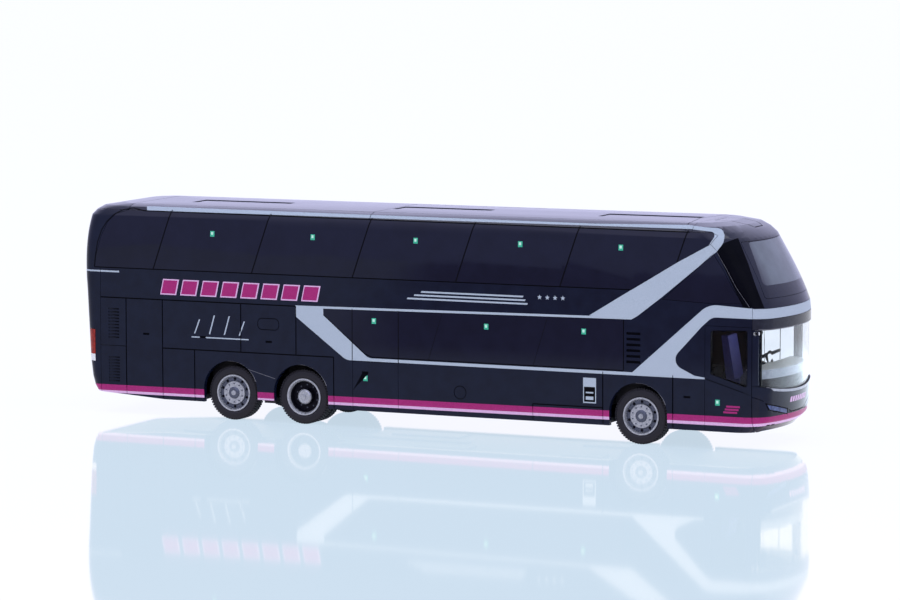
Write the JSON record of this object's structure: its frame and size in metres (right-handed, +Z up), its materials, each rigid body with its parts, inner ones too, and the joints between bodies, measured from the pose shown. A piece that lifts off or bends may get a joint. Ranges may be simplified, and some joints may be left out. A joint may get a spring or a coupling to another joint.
{
  "type": "scale model double-deck coach",
  "caption": "Long three-axle double-deck touring coach as a small scale model, with a raked upper front, tinted window bands and wheels that roll on steel axle pins.",
  "frame": {"origin": "on the floor under the middle of the body's length and width", "axes": "+X forward along the coach, +Y to its left, away from the passenger doors, +Z up"},
  "size_m": [0.1608, 0.0294, 0.0461],
  "materials": {
    "body_plastic": "gloss black moulded plastic",
    "tinted_glazing": "dark tinted clear plastic",
    "clear_glazing": "clear plastic",
    "silver_print": "silver print on gloss plastic",
    "grey_plastic": "dark grey gloss",
    "headlamp_lens": "clear lens over a blue-grey lamp",
    "tail_lamp_lens": "red lens",
    "chassis_plastic": "matt black moulded plastic",
    "interior_plastic": "charcoal moulded plastic",
    "seat_plastic": "blue-violet moulded plastic",
    "dash_plastic": "light grey moulded plastic",
    "hub": "silver painted moulded wheel",
    "tyre": "matt black",
    "axle_steel": "drawn steel"
  },
  "bodies": {
    "coach": {"brow_band": "silver_print", "chassis_plate": "chassis_plastic", "dashboard": "dash_plastic", "driver_seat": "seat_plastic", "driver_window": "clear_glazing", "front_cap": "body_plastic", "front_door": "body_plastic", "front_door_glass": "clear_glazing", "front_mask": "body_plastic", "front_pillars": "body_plastic", "headlamps": "headlamp_lens", "lower_deck": "interior_plastic", "lower_glazing_left": "tinted_glazing", "lower_glazing_right": "tinted_glazing", "lower_windscreen": "clear_glazing", "mid_door": "body_plastic", "quarter_glass_left": "tinted_glazing", "quarter_glass_right": "tinted_glazing", "rear_wall": "body_plastic", "rear_window": "tinted_glazing", "roof_panel": "body_plastic", "side_wall_left": "body_plastic", "side_wall_right": "body_plastic", "steering_wheel": "interior_plastic", "tail_lamps": "tail_lamp_lens", "upper_deck": "interior_plastic", "upper_glazing_left": "tinted_glazing", "upper_glazing_right": "tinted_glazing", "upper_windscreen": "tinted_glazing", "visor_band": "grey_plastic"},
    "front_axle": {"front_axle_pin": "axle_steel", "front_left_hub": "hub", "front_left_tyre": "tyre", "front_right_hub": "hub", "front_right_tyre": "tyre"},
    "drive_axle": {"drive_axle_pin": "axle_steel", "drive_left_hub": "hub", "drive_left_tyres": "tyre", "drive_right_hub": "hub", "drive_right_tyres": "tyre"},
    "tag_axle": {"tag_axle_pin": "axle_steel", "tag_left_hub": "hub", "tag_left_tyre": "tyre", "tag_right_hub": "hub", "tag_right_tyre": "tyre"}
  },
  "joints": [
    {"name": "front_axle_roll", "type": "hinge", "parent": "coach", "child": "front_axle", "pos_m": [0.0505, 0, 0.00585], "axis": [0, 1, 0], "continuous": true},
    {"name": "drive_axle_roll", "type": "hinge", "parent": "coach", "child": "drive_axle", "pos_m": [-0.02706, 0, 0.00585], "axis": [0, 1, 0], "continuous": true},
    {"name": "tag_axle_roll", "type": "hinge", "parent": "coach", "child": "tag_axle", "pos_m": [-0.04389, 0, 0.00585], "axis": [0, 1, 0], "continuous": true}
  ]
}
